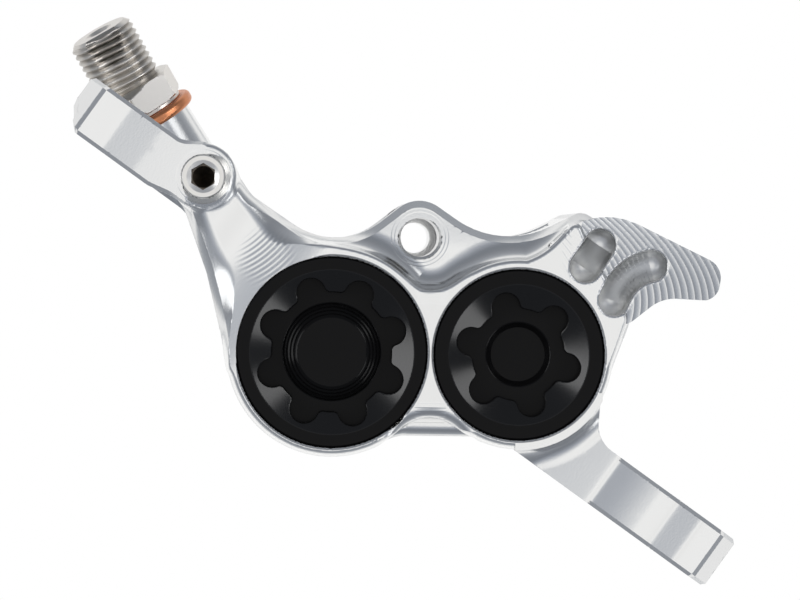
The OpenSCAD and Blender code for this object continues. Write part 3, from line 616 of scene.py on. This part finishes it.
body = piece("machined_body", *skin(caliper, (-38, -27, -18.6), (34, 31, 18.1), 0.2 * COARSE, 0.0008),
             "caliper", "caliper_body", "machined_aluminium")
large = piece("large_cap_turned",
              *skin(large_cap, (LARGE - LARGE_CAP, -LARGE_CAP, CAP_FACE),
                    (LARGE + LARGE_CAP, LARGE_CAP, CAP_SEAT), 0.12 * COARSE),
              "caliper", "large_bore_cap", "black_anodised")
small = piece("small_cap_turned",
              *skin(small_cap, (SMALL - SMALL_CAP, -SMALL_CAP, CAP_FACE),
                    (SMALL + SMALL_CAP, SMALL_CAP, CAP_SEAT), 0.12 * COARSE),
              "caliper", "small_bore_cap", "black_anodised")
screw = piece("bleed_screw_turned",
              *skin(bleed_screw, (-26.9, 16.5, -17.6), (-22.1, 21.3, -9.5), 0.08 * COARSE),
              "bleed_screw", "bleed_screw", "screw_steel")
hose = piece("connector_threaded", *skin(connector, (-41, 15, 0), (-23, 39, 9), 0.09 * COARSE),
             "caliper", "hose_connector", "connector_steel")
ring = piece("washer_rounded", *skin(washer, (-37, 20, -2), (-25, 32, 11), 0.14 * COARSE),
             "caliper", "connector_washer", "copper")

# Leaf spring between the pads, which the closing pads squeeze

def leaf_spring(half_span, bridge, foot, bend, thick, stations):
    """A bent leaf: a bridge across the pads with two legs down each of them."""
    arc = [(bend - half_span - bend * math.cos(a), bridge - bend + bend * math.sin(a))
           for a in np.linspace(0, math.pi / 2, 7)]
    half = [(-half_span, foot)] + arc
    section = half + [(-y, v) for y, v in reversed(half)]
    count, top = len(section), len(half) - 1
    points = np.array([(u, v, y) for u in stations for y, v in section])
    # Only the bridge runs between the legs
    faces = [(s * count + k, s * count + k + 1, (s + 1) * count + k + 1, (s + 1) * count + k)
             for s in range(3) for k in range(count - 1) if s != 1 or k == top]
    mesh = bpy.data.meshes.new("leaf_spring")
    mesh.from_pydata(to_row(points).tolist(), [], faces)
    leaf = bpy.data.objects.new("leaf_spring", mesh)
    bpy.context.scene.collection.objects.link(leaf)
    solid = leaf.modifiers.new("thickness", "SOLIDIFY")
    solid.thickness, solid.offset = thick * MM, 0
    whole = bpy.data.meshes.new_from_object(leaf.evaluated_get(bpy.context.evaluated_depsgraph_get()))
    leaf.modifiers.clear()
    leaf.data = whole
    whole.polygons.foreach_set("use_smooth", [True] * len(whole.polygons))
    whole.set_sharp_from_angle(angle=math.radians(40))
    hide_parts("pad_spring")
    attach(leaf, "caliper")
    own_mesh(leaf)
    return leaf


spring = leaf_spring(half_span=4.0, bridge=9.75, foot=7.7, bend=0.7, thick=0.3,
                     stations=(-14.4, -9.4, 8.5, 13.5))

# Materials

# Roughness of the milled body and of its cooling pockets
SATIN, POCKET_DULL = 0.2, 0.36
# Level of the wing's front along its slope's normal, and where the wing lies
WING_PLANE = -WING_TOP * math.cos(WING_SLOPE) + WING_START * math.sin(WING_SLOPE)
WING_FROM_U, WING_FROM_V = 15.5, 2.0
# Axis and bow of the cutter's curved passes over the wing
PASS_AXIS, PASS_BOW = 5.83, 0.0677
# Where the fine lines across the neck between the bores lie, as middle and half width
NECK_LINES_U, NECK_LINES_V = (0.6, 1.7), (6.5, 1.2)
# Turned rings round the pad pin's bore and the bleed screw
TURNED_RINGS = ((PIN, 2.78), (PIN, 3.15), (BLEED, 2.95))
# Cutter's arcs where the upper arm runs into the raised face: middle, reach and spacing
ARCS_AT, ARCS_REACH, ARCS_PITCH = (-17.6, 10.4), 2.6, 0.5


def linear(code):
    """Linear colour of an sRGB hex value."""
    parts = [int(code[k:k + 2], 16) / 255 for k in (1, 3, 5)]
    return [c / 12.92 if c <= 0.04045 else ((c + 0.055) / 1.055) ** 2.4 for c in parts] + [1.0]


def add(tree, kind, settings=None, inputs=None):
    """Adds a node with its settings; each input is a value, or the socket or node that feeds it."""
    made = tree.nodes.new(kind)
    for name, value in (settings or {}).items():
        setattr(made, name, value)
    for name, value in (inputs or {}).items():
        if isinstance(value, bpy.types.Node):
            tree.links.new(made.inputs[name], value.outputs[0])
        elif isinstance(value, bpy.types.NodeSocket):
            tree.links.new(made.inputs[name], value)
        else:
            made.inputs[name].default_value = value
    return made


def surface(name, **values):
    """A material with its shader's plain values set, its node tree and its shader."""
    made = bpy.data.materials.new(name)
    made.use_nodes = True
    shader = made.node_tree.nodes["Principled BSDF"]
    for key, value in values.items():
        shader.inputs[key.replace("_", " ")].default_value = value
    return made, made.node_tree, shader


def grain(tree, place, size_mm, height_mm, relief=None):
    """Relief of fine irregular grain, on top of another relief where one is given."""
    noise = add(tree, "ShaderNodeTexNoise", None, {
        "Vector": place, "Scale": 1 / (size_mm * MM), "Detail": 2.0})
    under = {"Normal": relief} if relief else {}
    return add(tree, "ShaderNodeBump", None, {
        "Height": noise, "Distance": height_mm * MM, "Strength": 1.0, **under}).outputs[0]


def axis_gap(tree, place, middle):
    """Distance from an axle-wise axis through a point of the pad frame, in metres."""
    flat = add(tree, "ShaderNodeVectorMath", {"operation": "MULTIPLY"}, {0: place, 1: (1, 0, 1)})
    hub = to_row(np.array([[*middle, 0.0]]))[0]
    return add(tree, "ShaderNodeVectorMath", {"operation": "DISTANCE"}, {0: flat, 1: hub}).outputs["Value"]


def ring_step(tree, place, middle, r_mm, width_mm):
    """Step from 0 to 1 at a radius round an axle-wise axis."""
    return add(tree, "ShaderNodeMapRange", {"interpolation_type": "SMOOTHSTEP"}, {
        "Value": axis_gap(tree, place, middle), "From Min": (r_mm - width_mm) * MM,
        "From Max": (r_mm + width_mm) * MM})


def pocket_dullness(tree, u, level, beyond):
    """Roughness of the body: satin, and duller in the cooling pockets below the wing's front."""
    below = add(tree, "ShaderNodeMapRange", None, {
        "Value": level, "From Min": WING_PLANE - 0.5, "From Max": WING_PLANE - 0.3,
        "To Min": POCKET_DULL, "To Max": SATIN})
    in_wing = add(tree, "ShaderNodeMath", {"operation": "GREATER_THAN"}, {0: u, 1: WING_FROM_U})
    in_pocket = add(tree, "ShaderNodeMath", {"operation": "MULTIPLY"}, {0: in_wing, 1: beyond})
    return add(tree, "ShaderNodeMix", None, {0: in_pocket, 2: SATIN, 3: below}).outputs[0]


def wing_ridges(tree, u, v, level, beyond):
    """Relief of the ridges between the cutter's curved passes over the wing's front."""
    on_plane = add(tree, "ShaderNodeMath", {"operation": "COMPARE"}, {0: level, 1: WING_PLANE, 2: 0.12})
    on_wing = add(tree, "ShaderNodeMath", {"operation": "MULTIPLY"}, {0: on_plane, 1: beyond})
    side = add(tree, "ShaderNodeMath", {"operation": "SUBTRACT"}, {0: v, 1: PASS_AXIS})
    bow = add(tree, "ShaderNodeMath", {"operation": "MULTIPLY"}, {0: side, 1: side})
    way = add(tree, "ShaderNodeMath", {"operation": "MULTIPLY_ADD"}, {0: bow, 1: PASS_BOW, 2: u})
    turns = add(tree, "ShaderNodeMath", {"operation": "DIVIDE"}, {0: way, 1: RIDGE_PITCH})
    part = add(tree, "ShaderNodeMath", {"operation": "FRACT"}, {0: turns})
    half = add(tree, "ShaderNodeMath", {"operation": "SUBTRACT"}, {0: part, 1: 0.5})
    bowl = add(tree, "ShaderNodeMath", {"operation": "MULTIPLY"}, {0: half, 1: half})
    return add(tree, "ShaderNodeBump", None, {
        "Height": bowl, "Distance": 4 * RIDGE_HEIGHT * MM, "Strength": on_wing}).outputs[0]


def neck_lines(tree, u, v, relief):
    """Relief of fine lines across the neck between the bores, on top of another relief."""
    aside = add(tree, "ShaderNodeMath", {"operation": "COMPARE"}, {
        0: u, 1: NECK_LINES_U[0], 2: NECK_LINES_U[1]})
    height = add(tree, "ShaderNodeMath", {"operation": "ABSOLUTE"}, {0: v})
    ends = add(tree, "ShaderNodeMath", {"operation": "COMPARE"}, {
        0: height, 1: NECK_LINES_V[0], 2: NECK_LINES_V[1]})
    neck = add(tree, "ShaderNodeMath", {"operation": "MULTIPLY"}, {0: aside, 1: ends})
    lines = add(tree, "ShaderNodeTexNoise", {"noise_dimensions": "1D"}, {"W": v, "Scale": 3.2, "Detail": 1.0})
    return add(tree, "ShaderNodeBump", None, {
        "Height": lines, "Distance": 0.06 * MM, "Strength": neck, "Normal": relief}).outputs[0]


def cutter_arcs(tree, place, relief):
    """Relief of arcs that a ball-nosed cutter left on the front round the bleed screw, on another relief."""
    turns = add(tree, "ShaderNodeMath", {"operation": "MULTIPLY"}, {
        0: axis_gap(tree, place, BLEED), 1: 2 * math.pi / (ARCS_PITCH * MM)})
    wave = add(tree, "ShaderNodeMath", {"operation": "SINE"}, {0: turns})
    outside = ring_step(tree, place, ARCS_AT, ARCS_REACH, 1.2)
    near = add(tree, "ShaderNodeMath", {"operation": "SUBTRACT"}, {0: 1.0, 1: outside})
    parts = add(tree, "ShaderNodeSeparateXYZ", None, {"Vector": place})
    front = add(tree, "ShaderNodeMath", {"operation": "LESS_THAN"}, {0: parts.outputs["Y"], 1: 0.0})
    shown = add(tree, "ShaderNodeMath", {"operation": "MULTIPLY"}, {0: near, 1: front})
    return add(tree, "ShaderNodeBump", None, {
        "Height": wave, "Distance": 0.01 * MM, "Strength": shown, "Normal": relief}).outputs[0]


def milled_aluminium():
    """Aluminium milled from the solid: bright and satin, with the marks of its cutters."""
    made, tree, shader = surface("milled_aluminium", Base_Color=linear("#eeeeed"), Metallic=1.0)
    place = add(tree, "ShaderNodeTexCoord").outputs["Object"]
    # Millimetres along u, along v and out of the wing's sloping front
    tilt_sin, tilt_cos = math.sin(WING_SLOPE), math.cos(WING_SLOPE)
    ways = ((COS, 0, SIN), (-SIN, 0, COS), (tilt_sin * COS, -tilt_cos, tilt_sin * SIN))
    u, v, level = (add(tree, "ShaderNodeVectorMath", {"operation": "DOT_PRODUCT"}, {
        0: place, 1: [c / MM for c in way]}).outputs["Value"] for way in ways)
    beyond = add(tree, "ShaderNodeMath", {"operation": "GREATER_THAN"}, {0: v, 1: WING_FROM_V})
    tree.links.new(shader.inputs["Roughness"], pocket_dullness(tree, u, level, beyond))
    relief = neck_lines(tree, u, v, wing_ridges(tree, u, v, level, beyond))
    for middle, r in TURNED_RINGS:
        relief = add(tree, "ShaderNodeBump", None, {
            "Height": ring_step(tree, place, middle, r, 0.07), "Distance": 0.025 * MM, "Strength": 1.0,
            "Normal": relief}).outputs[0]
    relief = cutter_arcs(tree, place, relief)
    tree.links.new(shader.inputs["Normal"], grain(tree, place, 0.22, 0.006, relief))
    return made


def black_anodised(name, middle, socket_r, dish_r):
    """Turned and black anodised aluminium: near black, with a weak gloss that is clearer in the dish."""
    made, tree, shader = surface(name, Base_Color=linear("#0a0a0b"), Roughness=0.2, IOR=1.76)
    place = add(tree, "ShaderNodeTexCoord").outputs["Object"]
    inner = ring_step(tree, place, middle, socket_r - 0.1, 0.1)
    outer = ring_step(tree, place, middle, dish_r, 0.05)
    band = add(tree, "ShaderNodeMath", {"operation": "SUBTRACT"}, {0: inner, 1: outer})
    parts = add(tree, "ShaderNodeSeparateXYZ", None, {"Vector": place})
    above = add(tree, "ShaderNodeMath", {"operation": "LESS_THAN"}, {
        0: parts.outputs["Y"], 1: (CAP_FACE + 2) * MM})
    dish = add(tree, "ShaderNodeMath", {"operation": "MULTIPLY"}, {0: band, 1: above})
    gloss = add(tree, "ShaderNodeMapRange", None, {"Value": dish, "To Min": 0.05, "To Max": 0.2})
    tree.links.new(shader.inputs["Specular IOR Level"], gloss.outputs[0])
    tree.links.new(shader.inputs["Normal"], grain(tree, place, 0.3, 0.001))
    return made


def plain_finish(name, code, metallic, roughness, grain_mm, height_mm):
    """One colour and roughness all over, with fine grain."""
    made, tree, shader = surface(name, Base_Color=linear(code), Metallic=metallic, Roughness=roughness)
    place = add(tree, "ShaderNodeTexCoord").outputs["Object"]
    tree.links.new(shader.inputs["Normal"], grain(tree, place, grain_mm, height_mm))
    return made


def threaded_steel():
    """Turned stainless steel of the connector: bright on the crests and the thread's end, with painted shade
    in the thread's roots.
    """
    made, tree, shader = surface("threaded_stainless_steel", Metallic=1.0, Roughness=0.34)
    place = add(tree, "ShaderNodeTexCoord").outputs["Object"]
    seat = to_row(np.array([PORT_SEAT]))[0]
    way = to_row(PORT_WAY[None, :])[0] / MM
    ahead = add(tree, "ShaderNodeVectorMath", {"operation": "SUBTRACT"}, {0: place, 1: seat})
    along = add(tree, "ShaderNodeVectorMath", {"operation": "DOT_PRODUCT"}, {
        0: ahead, 1: way}).outputs["Value"]
    axis = add(tree, "ShaderNodeVectorMath", {"operation": "SCALE"}, {0: way, "Scale": along})
    off = add(tree, "ShaderNodeVectorMath", {"operation": "DISTANCE"}, {0: ahead, 1: axis}).outputs["Value"]
    # Painted shade: the thread's roots are darker than its crests and its end
    crest = add(tree, "ShaderNodeMapRange", None, {
        "Value": off, "From Min": 3.45 * MM, "From Max": 3.85 * MM})
    end = add(tree, "ShaderNodeMapRange", None, {
        "Value": along, "From Min": 11.2 * MM, "From Max": 11.6 * MM})
    unshaded = add(tree, "ShaderNodeMath", {"operation": "MAXIMUM"}, {0: crest, 1: end})
    tone = add(tree, "ShaderNodeValToRGB", None, {"Fac": unshaded})
    dark, light = tone.color_ramp.elements
    dark.color, light.color = linear("#a39d95"), linear("#dedad4")
    tree.links.new(shader.inputs["Base Color"], tone.outputs[0])
    tree.links.new(shader.inputs["Normal"], grain(tree, place, 0.3, 0.002))
    return made


def screw_steel_painted_shade():
    """Turned screw steel: bright on the head, with painted shade in its socket."""
    made, tree, shader = surface("screw_steel_painted_shade", Metallic=1.0, Roughness=0.3)
    place = add(tree, "ShaderNodeTexCoord").outputs["Object"]
    parts = add(tree, "ShaderNodeSeparateXYZ", None, {"Vector": place})
    # Painted shade: the socket, below the head's face and inside its rim, is darker than the head
    head = add(tree, "ShaderNodeMapRange", None, {
        "Value": parts.outputs["Y"], "From Min": -17.2 * MM, "From Max": -17.0 * MM,
        "To Min": 1.0, "To Max": 0.0})
    rim = ring_step(tree, place, BLEED, 1.7, 0.1)
    unshaded = add(tree, "ShaderNodeMath", {"operation": "MAXIMUM"}, {0: head, 1: rim})
    tone = add(tree, "ShaderNodeValToRGB", None, {"Fac": unshaded})
    dark, light = tone.color_ramp.elements
    dark.color, light.color = linear("#6a645d"), linear("#e6e4e0")
    tree.links.new(shader.inputs["Base Color"], tone.outputs[0])
    tree.links.new(shader.inputs["Normal"], grain(tree, place, 0.3, 0.004))
    return made


def friction_compound():
    """Sintered friction compound: brown-grey, rough, with bright metal grains."""
    made, tree, shader = surface("sintered_friction_compound", Base_Color=linear("#5b4a40"), Roughness=0.8)
    place = add(tree, "ShaderNodeTexCoord").outputs["Object"]
    cells = add(tree, "ShaderNodeTexVoronoi", None, {"Vector": place, "Scale": 1 / (0.5 * MM)})
    tone = add(tree, "ShaderNodeValToRGB", None, {"Fac": cells.outputs["Color"]})
    dark, light = tone.color_ramp.elements
    dark.color, light.color = linear("#3d332d"), linear("#8a7460")
    tree.links.new(shader.inputs["Base Color"], tone.outputs[0])
    tree.links.new(shader.inputs["Normal"], grain(tree, place, 0.4, 0.05))
    return made


plate = plain_finish("plated_steel", "#8f9094", 1.0, 0.38, 0.3, 0.002)
PIECE_FINISH = (
    (body, milled_aluminium()), (screw, screw_steel_painted_shade()), (hose, threaded_steel()), (spring, plate),
    (ring, plain_finish("annealed_copper", "#d99066", 1.0, 0.34, 0.6, 0.01)),
    (large, black_anodised("black_anodised_large_cap", (LARGE, 0), LARGE_SOCKET, LARGE_DISH)),
    (small, black_anodised("black_anodised_small_cap", (SMALL, 0), SMALL_SOCKET, SMALL_DISH)))
for made, material in PIECE_FINISH:
    made.data.materials.append(material)
# The solids that are shown as they are, by a word in their names
SOLID_FINISH = {
    "piston": plain_finish("ground_stainless_steel", "#c9c9cb", 1.0, 0.22, 0.3, 0.002),
    "seal": plain_finish("nitrile_rubber", "#1b1b1b", 0.0, 0.62, 0.4, 0.004),
    "friction": friction_compound(), "plate": plate,
    "plug": plain_finish("turned_stainless_steel", "#d2cec8", 1.0, 0.34, 0.3, 0.002)}
for name, node_object in frame["nodes"].items():
    for word, material in SOLID_FINISH.items():
        if word in name:
            node_object.data.materials.clear()
            node_object.data.materials.append(material)

# Camera at the photograph's place

VIEW_UP, VIEW_RIGHT = Vector((-0.586, 0, 0.810)), Vector((0.810, 0, 0.586))
camera_data = bpy.data.cameras.new("camera")
camera_data.sensor_width = 36
camera_data.lens = 198.7
camera_data.clip_start, camera_data.clip_end = 0.01, 20
camera = bpy.data.objects.new("camera", camera_data)
bpy.context.scene.collection.objects.link(camera)
eye, aim = Vector((-19.6, -498.5, 0.26)), Vector((-5.68, -18.5, 3.09))
back = (eye - aim).normalized()
right = VIEW_UP.cross(back).normalized()
camera.matrix_world = Matrix.Translation(eye * MM) @ Matrix(
    (right, back.cross(right), back)).transposed().to_4x4()
bpy.context.scene.camera = camera

# Studio: a white room with a pale floor, a sleeve of grey cards round the object and three softboxes

FLOOR_LEVEL, FLOOR_HALF = -0.42, 1.5
SLEEVE_R, SLEEVE_END, SLEEVE_RINGS, SLEEVE_SPOKES = 0.4, math.radians(140), 48, 48
# Share of the way through the sleeve from before the object (0) to behind it (1), and the card's tone there
SLEEVE_TONES = [
    (0.003, "#f4f4f4"), (0.006, "#ffffff"), (0.026, "#ffffff"), (0.044, "#dddfe2"), (0.07, "#b7bbc3"),
    (0.13, "#979ca5"), (0.22, "#7c8189"), (0.36, "#82868d"), (0.5, "#94989f"), (0.64, "#a9adb3"),
    (0.71, "#f4f4f5"), (0.8, "#f8f8f8"), (0.88, "#b4b8bd")]
# Place right of and above the object in mm as the camera sees it, width, height and watts
SOFTBOXES = {
    "left": (-276, 39, 150, 270, 0.14),
    "upper_right": (241, 139, 130, 150, 0.06),
    "lower_right": (241, -139, 130, 150, 0.06)}
SOFTBOX_AHEAD = 182
# Each softbox has a spot a little further out that lights the turned pieces alone
SPOT_OUT, SPOT_AHEAD, SPOT_GAIN = 1.05, 191, 3


def shown_white(tree):
    """1 for rays that show the background: seen straight, in metal or through glass."""
    rays = add(tree, "ShaderNodeLightPath").outputs
    seen = add(tree, "ShaderNodeMath", {"operation": "MAXIMUM"}, {
        0: rays["Is Camera Ray"], 1: rays["Is Glossy Ray"]})
    return add(tree, "ShaderNodeMath", {"operation": "MAXIMUM"}, {0: seen, 1: rays["Is Transmission Ray"]})


def sheet(name, points, faces, material):
    """A smooth sheet of the studio, in metres."""
    mesh = bpy.data.meshes.new(name)
    mesh.from_pydata([tuple(float(c) for c in p) for p in points], [], faces)
    mesh.polygons.foreach_set("use_smooth", [True] * len(mesh.polygons))
    mesh.materials.append(material)
    made = bpy.data.objects.new(name, mesh)
    bpy.context.scene.collection.objects.link(made)
    return made


def floor_finish():
    """White paper, shown as white but for the object's shadow."""
    made, tree, shader = surface("white_paper", Base_Color=linear("#e6e6e6"), Roughness=1.0)
    shadow = add(tree, "ShaderNodeBsdfDiffuse", None, {"Color": linear("#6a6a6a")})
    glow = add(tree, "ShaderNodeEmission", None, {"Strength": 0.93})
    pale = add(tree, "ShaderNodeAddShader", None, {0: shadow, 1: glow})
    whole = add(tree, "ShaderNodeMixShader", None, {"Fac": shown_white(tree), 1: shader, 2: pale})
    tree.links.new(tree.nodes["Material Output"].inputs["Surface"], whole.outputs[0])
    return made


def sleeve_finish():
    """Grey cards, from pale before the object to darker beside it and pale again behind."""
    made, tree, _ = surface("grey_cards")
    place = add(tree, "ShaderNodeTexCoord").outputs["Object"]
    parts = add(tree, "ShaderNodeSeparateXYZ", None, {"Vector": place})
    share = add(tree, "ShaderNodeMapRange", None, {
        "Value": parts.outputs["Y"], "From Min": -SLEEVE_R, "From Max": SLEEVE_R})
    tone = add(tree, "ShaderNodeValToRGB", None, {"Fac": share})
    bands = tone.color_ramp.elements
    while len(bands) < len(SLEEVE_TONES):
        bands.new(0.5)
    for band, (spot, code) in zip(bands, SLEEVE_TONES):
        band.position, band.color = spot, linear(code)
    glow = add(tree, "ShaderNodeEmission", None, {"Color": tone, "Strength": 1.0})
    tree.links.new(tree.nodes["Material Output"].inputs["Surface"], glow.outputs[0])
    return made


def softbox(name, across, upward, ahead, wide, high, power, lit=None):
    """Area lamp aimed at the object, placed in mm as the camera sees it; lit is the only group it lights."""
    data = bpy.data.lights.new(name, "AREA")
    data.shape = "RECTANGLE"
    data.size, data.size_y, data.energy = wide * MM, high * MM, power
    lamp = bpy.data.objects.new(name, data)
    bpy.context.scene.collection.objects.link(lamp)
    spot = (VIEW_RIGHT * across + VIEW_UP * upward + Vector((0, -ahead, 0))) * MM
    lamp.location = spot
    lamp.rotation_mode = "QUATERNION"
    lamp.rotation_quaternion = spot.to_track_quat("Z", "Y")
    lamp.visible_camera = False
    if lit:
        lamp.light_linking.receiver_collection = lit


sheet("floor", [(-FLOOR_HALF, -FLOOR_HALF, FLOOR_LEVEL), (FLOOR_HALF, -FLOOR_HALF, FLOOR_LEVEL),
                (FLOOR_HALF, FLOOR_HALF, FLOOR_LEVEL), (-FLOOR_HALF, FLOOR_HALF, FLOOR_LEVEL)],
      [(0, 1, 2, 3)], floor_finish())

polar = np.linspace(0.001, SLEEVE_END, SLEEVE_RINGS)
around = np.linspace(0, 2 * math.pi, SLEEVE_SPOKES, endpoint=False)
ball = [(SLEEVE_R * math.sin(a) * math.cos(b), -SLEEVE_R * math.cos(a), SLEEVE_R * math.sin(a) * math.sin(b))
        for a in polar for b in around]
strips = []
for start in range(0, len(ball) - SLEEVE_SPOKES, SLEEVE_SPOKES):
    for here in range(SLEEVE_SPOKES):
        beside = (here + 1) % SLEEVE_SPOKES
        strips.append([start + k for k in (here, beside, SLEEVE_SPOKES + beside, SLEEVE_SPOKES + here)])
sleeve = sheet("grey_sleeve", ball, strips, sleeve_finish())
sleeve.visible_camera = False
sleeve.visible_shadow = False
sleeve.visible_diffuse = False

world = bpy.data.worlds.new("studio")
bpy.context.scene.world = world
world.use_nodes = True
tree = world.node_tree
bright = add(tree, "ShaderNodeMapRange", None, {"Value": shown_white(tree), "To Min": 0.7, "To Max": 1.0})
tree.nodes["Background"].inputs["Color"].default_value = (1, 1, 1, 1)
tree.links.new(tree.nodes["Background"].inputs["Strength"], bright.outputs[0])

turned_pieces = bpy.data.collections.new("turned_pieces")
for made in (large, small, screw, hose, ring):
    turned_pieces.objects.link(made)
for name, (across, upward, wide, high, power) in SOFTBOXES.items():
    softbox(name + "_softbox", across, upward, SOFTBOX_AHEAD, wide, high, power)
    softbox(name + "_spot", SPOT_OUT * across, SPOT_OUT * upward, SPOT_AHEAD, wide, high, SPOT_GAIN * power,
            turned_pieces)

bpy.context.scene.view_settings.view_transform = "Standard"
